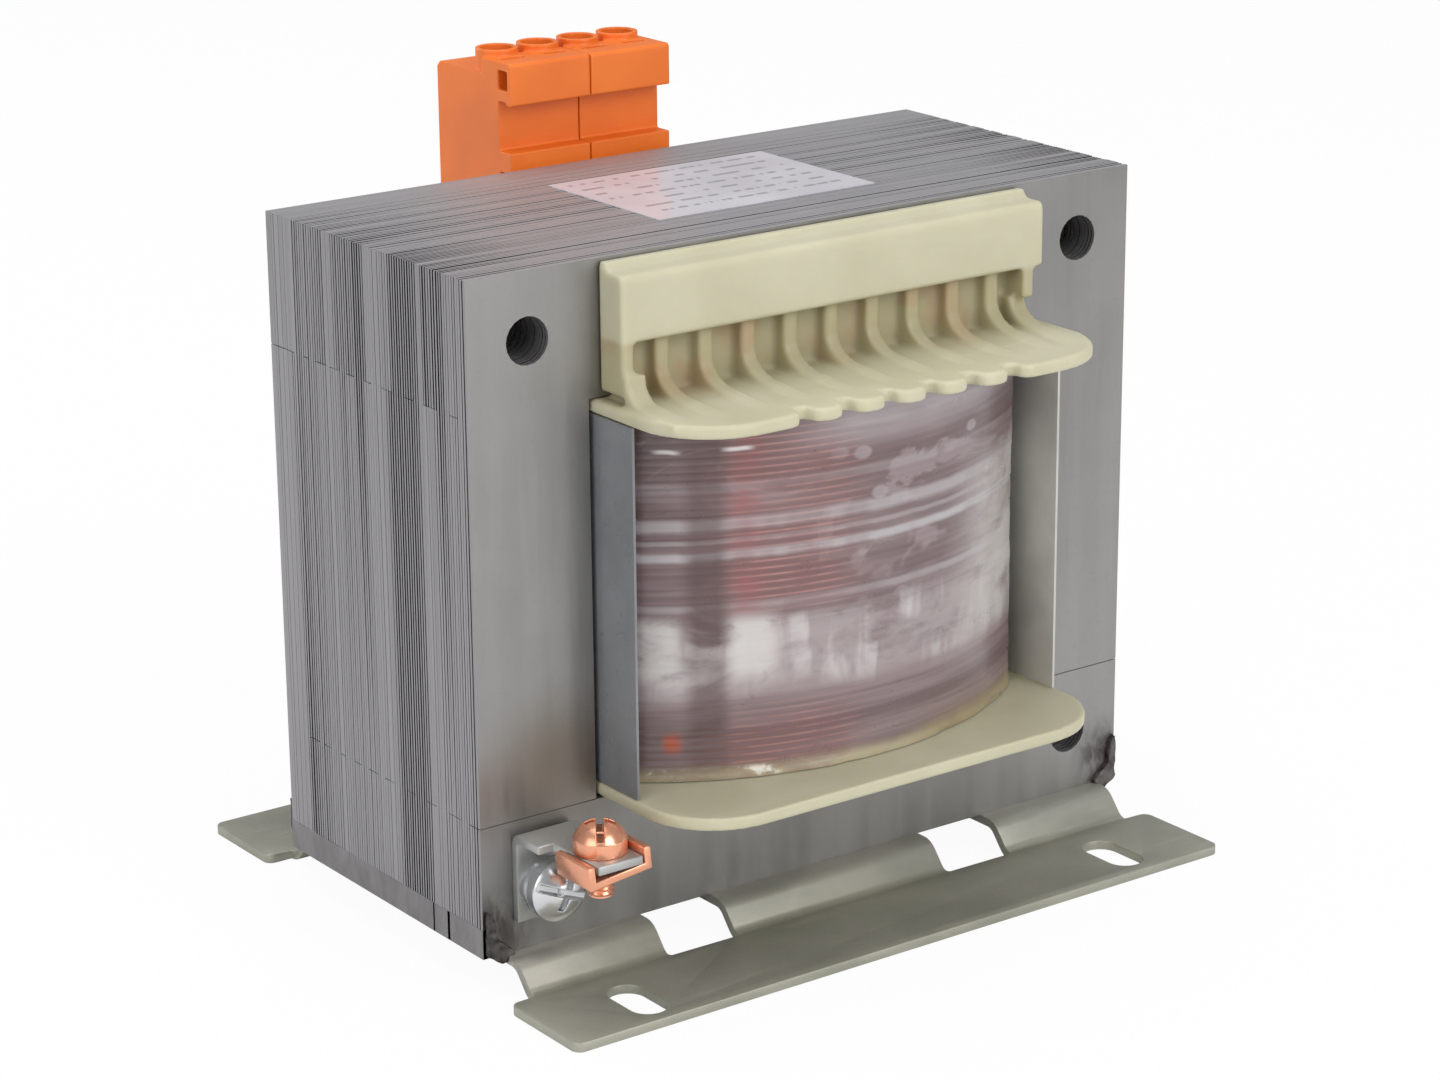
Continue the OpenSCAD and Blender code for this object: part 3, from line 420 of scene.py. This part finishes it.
# ---------------------------------------------------------------- mesh tools
def finish_piece(name, bm, material, slot, *cad, smooth=30.0, recalc=True):
    """Turns a bmesh into a piece that rides on the frame and stands for the given nodes."""
    if recalc:
        bmesh.ops.recalc_face_normals(bm, faces=bm.faces)
    mesh = bpy.data.meshes.new(name)
    bm.to_mesh(mesh)
    bm.free()
    for m in material if isinstance(material, (list, tuple)) else [material]:
        mesh.materials.append(m)
    piece = bpy.data.objects.new(name, mesh)
    bpy.context.scene.collection.objects.link(piece)
    if smooth:
        mesh.shade_smooth()
        mesh.set_sharp_from_angle(angle=radians(smooth))
    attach(piece, "root")
    if cad:
        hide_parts(*cad)
    return piece


def merged_copy(node, flat=0.6):
    """A welded copy of a CAD node with its flat faces made whole."""
    bm = bmesh.new()
    bm.from_mesh(nodes[node].data)
    bmesh.ops.remove_doubles(bm, verts=bm.verts, dist=0.001 * mm)
    bmesh.ops.dissolve_limit(bm, angle_limit=radians(flat), verts=bm.verts, edges=bm.edges)
    return bm


def cut_and_cap(bm, at, along, keep_outer):
    """Cuts a closed shape with a plane, keeps one side and closes the cut."""
    geom = bm.verts[:] + bm.edges[:] + bm.faces[:]
    bmesh.ops.bisect_plane(bm, geom=geom, dist=1e-7, plane_co=at, plane_no=along,
                           clear_inner=keep_outer, clear_outer=not keep_outer)
    bmesh.ops.holes_fill(bm, edges=[e for e in bm.edges if e.is_boundary], sides=0)


def round_edges(bm, radius, segments=2, angle=35.0):
    edges = [e for e in bm.edges if e.is_manifold and e.calc_face_angle(0) > radians(angle)]
    bmesh.ops.bevel(bm, geom=edges, offset=radius, offset_type="OFFSET", affect="EDGES", segments=segments,
                    profile=0.5, material=-1, clamp_overlap=False)


def moulded(bm, voxel, soften=4, keep=0.35):
    """Re-skins a closed shape with small fillets all round, as a moulding has."""
    mesh = bpy.data.meshes.new("moulding")
    bm.to_mesh(mesh)
    bm.free()
    shape = bpy.data.objects.new("moulding", mesh)
    bpy.context.scene.collection.objects.link(shape)
    skin = shape.modifiers.new("skin", "REMESH")
    skin.mode = "VOXEL"
    skin.voxel_size = voxel
    relax = shape.modifiers.new("relax", "SMOOTH")
    relax.factor = 0.5
    relax.iterations = soften
    thin = shape.modifiers.new("thin", "DECIMATE")
    thin.ratio = keep
    done = shape.evaluated_get(bpy.context.evaluated_depsgraph_get()).to_mesh()
    result = bmesh.new()
    result.from_mesh(done)
    shape.to_mesh_clear()
    bpy.data.objects.remove(shape)
    bpy.data.meshes.remove(mesh)
    return result


def flat_shape(bm, points, holes=(), y=0.0):
    """A flat face in the XZ plane at y, with round holes given as (x, z, radius, segments)."""
    corners = [bm.verts.new((x, y, z)) for x, z in points]
    edges = [bm.edges.new((a, b)) for a, b in zip(corners, corners[1:] + corners[:1])]
    for x, z, r, n in holes:
        place = Matrix.Translation((x, y, z)) @ Matrix.Rotation(pi / 2, 4, "X")
        ring = bmesh.ops.create_circle(bm, cap_ends=False, radius=r, segments=n, matrix=place)
        edges += list({e for v in ring["verts"] for e in v.link_edges})
    filled = bmesh.ops.triangle_fill(bm, use_beauty=True, edges=edges)["geom"]
    return [g for g in filled if isinstance(g, bmesh.types.BMFace)]


def thicken(bm, faces, offset):
    grown = bmesh.ops.extrude_face_region(bm, geom=faces)["geom"]
    moved = [v for v in grown if isinstance(v, bmesh.types.BMVert)]
    bmesh.ops.translate(bm, verts=moved, vec=offset)
    return moved


def hash01(first, second=0):
    """A repeatable value near 0.5 for a count and a key."""
    place = Vector((first * 12.9898 + 0.37, second * 78.233 + 1.7, 3.1))
    return 0.5 + 0.5 * noise.noise(place) * 1.9


# ---------------------------------------------------------------- core of separate sheets
# how open the stack is, by depth from the rear (0) to the front (1): (end of the stretch, openness)
gaps_above = ((0.14, 0.10), (0.16, 0.8), (0.20, 0.45), (0.30, 0.6), (0.345, 0.15), (0.44, 0.75), (0.50, 1.1),
              (0.555, 0.15), (0.63, 0.30), (0.76, 1.2), (0.785, 0.15), (0.89, 1.1), (0.97, 0.35), (1.0, 0.8))
gaps_below = ((0.12, 0.10), (0.17, 1.0), (0.24, 0.6), (0.36, 0.28), (0.5, 0.3), (0.6, 0.18), (0.62, 0.5),
              (0.76, 1.1), (0.81, 0.12), (0.96, 0.35), (1.0, 0.7))


def openness(stretches, depth):
    """The openness of the stretch that holds this depth."""
    for end, share in stretches:
        if depth < end:
            return share
    return stretches[-1][1]


def open_share(x):
    """The stack gapes at its sides and is pressed shut over the middle."""
    t = min(1.0, max(0.0, (half_w - abs(x)) / (24 * mm)))
    return 1 - 0.88 * t * t * (3 - 2 * t)


def core_sheets():
    bm = bmesh.new()
    tone = bm.verts.layers.float.new("tone")
    widest, most = 0.30 * mm, 0.36 * mm
    inner, leg = half_w - leg_w, leg_w
    joint_z, top_in, middle = core_z + yoke_h, core_top - yoke_h, core_z + core_top
    total_d = rear_y - front_y
    y, count, upright, left_in_group = front_y, 0, True, 4
    while y < rear_y - 1e-7:
        pitch = (0.60 + 0.14 * hash01(count, 1)) * mm
        if rear_y - y - pitch < 0.35 * mm:
            pitch = rear_y - y
        depth = 1 - (y + pitch / 2 - front_y) / total_d
        if left_in_group == 0:
            upright, left_in_group = not upright, 2 + int(3.99 * abs(hash01(count, 9)) % 4)
        if depth < 0.13:
            upright = False
        left_in_group -= 1
        sway = (hash01(count, 2) - 0.5) * 0.08 * mm
        drop = 0.0 if count in (0, 3) else 0.10 * mm * abs(hash01(count, 8))
        joint = (0.03 + 0.05 * abs(hash01(count // 3, 7))) * mm
        wander = 0.7 + 0.6 * hash01(count, 3)
        gap_up, gap_down = (min(most, openness(g, depth) * widest * wander) for g in (gaps_above, gaps_below))
        w = half_w - 0.03 * mm + min(0.03 * mm, sway)
        low, high = joint_z + joint, core_top - drop
        e_points = [(-w, low), (-inner, low), (-inner, top_in), (-leg, top_in), (-leg, low), (leg, low),
                    (leg, top_in), (inner, top_in), (inner, low), (w, low), (w, top_in), (w, high), (inner, high),
                    (0, high), (-inner, high), (-w, high), (-w, top_in)]
        i_points = [(-w, core_z), (-inner, core_z), (inner, core_z), (w, core_z),
                    (w, joint_z - joint), (-w, joint_z - joint)]
        bore = hole_r if count == 0 else hole_r - 0.16 * mm * abs(hash01(count, 6))
        holes = [(x, core_top - hole_inset, bore, 20) for x in (-half_w + hole_inset, half_w - hole_inset)]
        low_holes = [(x, core_z + hole_inset, bore, 20) for x in (-half_w + hole_inset, half_w - hole_inset)]
        if not upright:
            e_points = [(x, middle - z) for x, z in e_points]
            i_points = [(x, middle - z) for x, z in i_points]
            holes, low_holes = low_holes, holes
        for points, bores, key in ((e_points, holes, 5), (i_points, low_holes, 6)):
            before = set(bm.verts)
            faces = flat_shape(bm, points, bores, y)
            thicken(bm, faces, (0, pitch, 0))
            shade = 0.60 + 0.24 * (hash01(count, key) - 0.5)
            for v in set(bm.verts) - before:
                gap = gap_up if v.co.z > top_in - 1e-5 else gap_down
                slack = gap * open_share(v.co.x) / 2
                # the faces of the first and the last sheet lie in the faces of the core
                if v.co.y < y + pitch / 2:
                    v.co.y += slack if count else 0
                elif y + pitch < rear_y - 1e-7:
                    v.co.y -= slack
                v[tone] = min(1, max(0, shade))
        y += pitch
        count += 1
    bmesh.ops.recalc_face_normals(bm, faces=bm.faces)
    for f in bm.faces:
        broad = abs(f.normal.y) > 0.9
        outer = min(abs(f.verts[0].co.y - front_y), abs(f.verts[0].co.y - rear_y)) < 1e-6
        f.material_index = (0 if outer else 3) if broad else 2 if abs(f.normal.z) > 0.9 else 1
    finish_piece("core_sheets", bm, [steel, side_edges, lit_top_edges, gap_shade_varnish], "lamination_steel",
                 "e_laminations_upright", "e_laminations_inverted", "i_laminations_bottom", "i_laminations_top",
                 recalc=False)


# ---------------------------------------------------------------- coil
wire_pitch = 1.08 * mm


def coil_outline(bm, z, shrink=0.0):
    """Crowned outline of the coil with rounded corners, as a ring of edges."""
    x, y = coil_high.x - shrink, coil_high.y - shrink
    crown = 12.6 * mm
    r = (x * x + crown * crown) / (2 * crown)
    reach = 26
    front = []
    for i in range(reach + 1):
        px = x * (2 * i / reach - 1)
        front.append((px, -(y - r + (r * r - px * px) ** 0.5)))
    ring = [bm.verts.new((px, py, z)) for px, py in front]
    ring += [bm.verts.new((px, -py, z)) for px, py in reversed(front)]
    for a, b in zip(ring, ring[1:] + ring[:1]):
        bm.edges.new((a, b))
    corners = [ring[0], ring[reach], ring[reach + 1], ring[-1]]
    bmesh.ops.bevel(bm, geom=corners, offset=2.6 * mm, offset_type="OFFSET", affect="VERTICES", segments=6,
                    profile=0.5, material=-1, clamp_overlap=False)


def wound_coil():
    bm = bmesh.new()
    rows_per_turn = 6
    height = coil_high.z - coil_low.z
    turns = round(height / wire_pitch)
    rows = turns * rows_per_turn
    step = height / rows
    coil_outline(bm, coil_low.z, 0.45 * mm)
    ring = list(bm.edges)
    for _ in range(rows):
        grown = bmesh.ops.extrude_edge_only(bm, edges=ring)["geom"]
        raised = [v for v in grown if isinstance(v, bmesh.types.BMVert)]
        bmesh.ops.translate(bm, verts=raised, vec=(0, 0, step))
        sides = [e for e in grown if isinstance(e, bmesh.types.BMEdge)]
        ring = [e for e in sides if abs(e.verts[0].co.z - e.verts[1].co.z) < 1e-7]
    bmesh.ops.recalc_face_normals(bm, faces=bm.faces)
    bm.normal_update()
    for v in bm.verts:
        level = (v.co.z - coil_low.z) / height
        turn = abs(sin(pi * (v.co.z - coil_low.z) / (height / turns)))
        # tape smooths the turns, most of all in the pale lower zone
        pale = max(0.0, 1 - abs(level - 0.33) / 0.14)
        p = v.co
        bare = min(1.0, max(0.0, (-p.x / mm - 4) / 22))
        ridge = (0.02 + 0.05 * bare) * mm * turn * (1 - 0.8 * pale)
        strain = 0.14 * mm * noise.noise(Vector((p.x * 22, p.y * 22, p.z * 330)))
        pleat = 0.12 * mm * pale * noise.noise(Vector((p.x * 400, p.y * 400, p.z * 60)))
        tape = 0.08 * mm * ((level > 0.615) + (level > 0.70) + (level < 0.42))
        ragged = 0.6 + noise.noise(Vector((p.x * 260, p.y * 260, 2.0)))
        flare = 0.35 * mm * max(0.0, 1 - level / 0.03) * ragged
        out = v.normal.copy()
        out.z = 0
        v.co += out.normalized() * (ridge + strain + pleat + tape + flare - 0.1 * mm)
    for end in (coil_low.z, coil_high.z):
        ring = [e for e in bm.edges if all(abs(v.co.z - end) < 1e-6 for v in e.verts)]
        bmesh.ops.contextual_create(bm, geom=ring)
    finish_piece("wound_coil", bm, taped, "outer_wire", "outer_winding", "outer_tape", smooth=75)


# ---------------------------------------------------------------- build
steel = rolled_steel()
gap_shade_varnish = varnish_gap_shade()
# painted light: the top edges are a lighter copy of the side edges, as the top of the core catches more light
side_edges = cut_edges("side_edges", (0.25, 0.243, 0.250), (0.40, 0.388, 0.400), (0.36, 0.345, 0.35))
lit_top_edges = cut_edges("lit_top_edges", (0.33, 0.32, 0.328), (0.50, 0.485, 0.495), (0.50, 0.47, 0.475), 0.12)
seam_steel = fused_seam()
weld_steel = burnt_weld()
zinc_sheet = pressed_zinc()
nylon = cream_nylon()
taped = taped_wire()
orange = orange_polyamide()
bright_zinc = plain("bright_zinc", (0.66, 0.67, 0.68), 0.24, 0.9, 0.08, 260, 0.00005)
earth_sheet = pressed_zinc("earth_sheet", (0.52, 0.525, 0.51), (0.40, 0.405, 0.39), 0.7)
copper = plain("copper_plate", (0.86, 0.40, 0.25), 0.27, 0.8, 0.08, 260, 0.00004)
dark_film = plain("dark_film", (0.20, 0.205, 0.215), 0.3, 0.0, 0.1, 200, Coat_Weight=0.4)
pale_film = plain("pale_film", (0.50, 0.495, 0.46), 0.4, 0.0, 0.1, 200)
sleeve = plain("sleeve", (0.72, 0.70, 0.60), 0.45)
brass = plain("tinned_brass", (0.70, 0.60, 0.42), 0.3, 0.9)
cage_steel = plain("cage_steel", (0.60, 0.58, 0.50), 0.35, 0.9)
label_stock = ruled_label()
inner_copper = plain("inner_copper", (0.45, 0.16, 0.07), 0.4, 0.6)

core_sheets()
wound_coil()


def bobbin_moulding():
    """Cheeks and combs are re-skinned with fillets; the tube between them is out of sight inside the coil."""
    inside = 0.5 * mm
    upper = merged_copy("bobbin")
    cut_and_cap(upper, (0, 0, coil_high.z - inside), (0, 0, 1), True)
    finish_piece("bobbin_upper", moulded(upper, 0.42 * mm, 3, 0.3), nylon, "bobbin_nylon", "bobbin", smooth=60)
    lower = merged_copy("bobbin")
    cut_and_cap(lower, (0, 0, coil_low.z + inside), (0, 0, 1), False)
    finish_piece("bobbin_lower", moulded(lower, 0.42 * mm, 3, 0.3), nylon, "bobbin_nylon", smooth=60)


bobbin_moulding()
for hand in ("left", "right"):
    block = moulded(merged_copy(f"terminal_block_{hand}"), 0.16 * mm, 2, 0.3)
    finish_piece(f"block_{hand}", block, orange, "block_plastic", f"terminal_block_{hand}", smooth=50)
for foot in ("foot_front", "foot_rear"):
    sheet = merged_copy(foot)
    round_edges(sheet, 0.18 * mm, 2)
    finish_piece(f"{foot}_sheet", sheet, zinc_sheet, "foot_steel", foot)
for name, node, material, slot, radius in (
        ("earth_angle", "earth_bracket", earth_sheet, "earth_zinc", 0.15),
        ("earth_clamp", "earth_saddle", copper, "earth_copper", 0.15)):
    shape = merged_copy(node)
    round_edges(shape, radius * mm, 2)
    finish_piece(name, shape, material, slot, node)


def lumpy_welds():
    bm = moulded(merged_copy("foot_welds"), 0.14 * mm, 2, 0.5)
    bm.normal_update()
    for v in bm.verts:
        v.co += v.normal * 0.30 * mm * noise.noise(v.co * 700)
    finish_piece("corner_welds", bm, weld_steel, "weld_burnt", "foot_welds", smooth=60)


def screw(name, node, material, slot, axis, root, head, turns=None):
    """A driven screw: the head is re-skinned with soft edges, the shank keeps its size."""
    bm = bmesh.new()
    for keep_head in (True, False):
        part = merged_copy(node, 0.3)
        cut_and_cap(part, root, axis, keep_head)
        if keep_head:
            part = moulded(part, head, 1, 0.6)
        mesh = bpy.data.meshes.new(name)
        part.to_mesh(mesh)
        part.free()
        bm.from_mesh(mesh)
        bpy.data.meshes.remove(mesh)
    if turns:
        start, end, r, pitch = turns
        centre = Vector(root)
        inner_r, outer_r = r - 0.02 * mm, r + 0.2 * mm
        for i in range(round((start - end) / pitch)):
            place = Matrix.Translation((centre.x, centre.y, start - pitch * (i + 0.5)))
            for bottom, top, shift in ((outer_r, inner_r, 0.25), (inner_r, outer_r, -0.25)):
                bmesh.ops.create_cone(bm, cap_ends=False, segments=32, radius1=bottom, radius2=top, depth=pitch / 2,
                                      matrix=place @ Matrix.Translation((0, 0, shift * pitch)))
    finish_piece(name, bm, material, slot, node, smooth=40)


lumpy_welds()
fixing_low, fixing_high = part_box("earth_fixing_screw")
fixing_mid = (fixing_low + fixing_high) / 2
screw("fixing_screw", "earth_fixing_screw", bright_zinc, "fastener_zinc", (0, -1, 0),
      (fixing_mid.x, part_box("earth_spring_washer")[0].y - 0.001 * mm, fixing_mid.z), 0.13 * mm)
clamp_low, clamp_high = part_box("earth_clamp_screw")
clamp_mid = (clamp_low + clamp_high) / 2
screw("clamp_screw", "earth_clamp_screw", copper, "earth_copper", (0, 0, 1),
      (clamp_mid.x, clamp_mid.y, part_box("earth_bracket")[1].z + 0.001 * mm), 0.11 * mm,
      (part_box("earth_saddle")[0].z, clamp_low.z + 0.2 * mm, 1.75 * mm, 0.75 * mm))

dressed = [("weld_seams", seam_steel), ("inner_winding", inner_copper), ("winding_barrier", sleeve),
           ("liner_left", dark_film), ("liner_right", pale_film), ("terminal_cages", cage_steel),
           ("terminal_contacts", brass), ("rating_label", label_stock)]
dressed += [(f"lead_{i}", sleeve) for i in range(1, 5)]
dressed += [(node, bright_zinc) for node in ("terminal_screws", "earth_spring_washer", "earth_washer",
                                             "earth_rear_washer", "earth_nut")]
for node, material in dressed:
    for place in nodes[node].material_slots:
        place.material = material

# ---------------------------------------------------------------- floor and light
stage = bmesh.new()
bmesh.ops.create_grid(stage, x_segments=1, y_segments=1, size=6.0)
floor_mesh = bpy.data.meshes.new("floor")
stage.to_mesh(floor_mesh)
stage.free()
floor = bpy.data.objects.new("floor", floor_mesh)
bpy.context.scene.collection.objects.link(floor)
floor_finish = bpy.data.materials.new("floor_paper")
floor_finish.use_nodes = True
tree = floor_finish.node_tree
paper = tree.nodes["Principled BSDF"]
paper.inputs["Base Color"].default_value = (0.86, 0.86, 0.86, 1)
paper.inputs["Roughness"].default_value = 0.9
glow = tree.nodes.new("ShaderNodeEmission")
glow.inputs["Color"].default_value = (1, 1, 1, 1)
path = tree.nodes.new("ShaderNodeLightPath")
mix = tree.nodes.new("ShaderNodeMixShader")
share = tree.nodes.new("ShaderNodeMath")
share.operation = "MULTIPLY"
share.inputs[1].default_value = 0.95
tree.links.new(path.outputs["Is Camera Ray"], share.inputs[0])
tree.links.new(share.outputs[0], mix.inputs[0])
tree.links.new(paper.outputs[0], mix.inputs[1])
tree.links.new(glow.outputs[0], mix.inputs[2])
tree.links.new(mix.outputs[0], tree.nodes["Material Output"].inputs["Surface"])
floor_mesh.materials.append(floor_finish)

world = bpy.data.worlds.new("studio")
bpy.context.scene.world = world
world.use_nodes = True
tree = world.node_tree
back = tree.nodes["Background"]
back.inputs["Color"].default_value = (0.92, 0.94, 0.97, 1)
back.inputs["Strength"].default_value = 0.36
seen = tree.nodes.new("ShaderNodeBackground")
seen.inputs["Color"].default_value = (1, 1, 1, 1)
seen.inputs["Strength"].default_value = 1.0
path = tree.nodes.new("ShaderNodeLightPath")
mix = tree.nodes.new("ShaderNodeMixShader")
shows = tree.nodes.new("ShaderNodeMath")
shows.operation = "MAXIMUM"
tree.links.new(path.outputs["Is Camera Ray"], shows.inputs[0])
tree.links.new(path.outputs["Is Transmission Ray"], shows.inputs[1])
tree.links.new(shows.outputs[0], mix.inputs[0])
tree.links.new(back.outputs[0], mix.inputs[1])
tree.links.new(seen.outputs[0], mix.inputs[2])
tree.links.new(mix.outputs[0], tree.nodes["World Output"].inputs["Surface"])


def soft_box(name, at, aim, size, power, tint=(1, 1, 1)):
    data = bpy.data.lights.new(name, "AREA")
    data.shape = "RECTANGLE"
    data.size, data.size_y = size
    data.energy = power
    data.color = tint
    lamp = bpy.data.objects.new(name, data)
    bpy.context.scene.collection.objects.link(lamp)
    lamp.location = at
    lamp.rotation_mode = "QUATERNION"
    lamp.rotation_quaternion = (Vector(aim) - Vector(at)).to_track_quat("-Z", "Y")


soft_box("key", (0.12, -1.0, 0.70), (0, 0, 0.05), (0.7, 0.7), 6.6)
soft_box("fill", (-1.0, -0.35, 0.5), (0, 0, 0.05), (0.8, 0.8), 4.0)
soft_box("low", (0.35, -1.1, 0.16), (0, 0, 0.04), (0.5, 0.3), 1.4)
soft_box("top", (0.0, 0.2, 1.1), (0, 0, 0.05), (0.9, 0.9), 6.0)
soft_box("back", (-0.45, 1.2, 0.42), (-0.02, 0, 0.1), (0.5, 0.4), 3.4)

bpy.context.scene.view_settings.view_transform = "Standard"
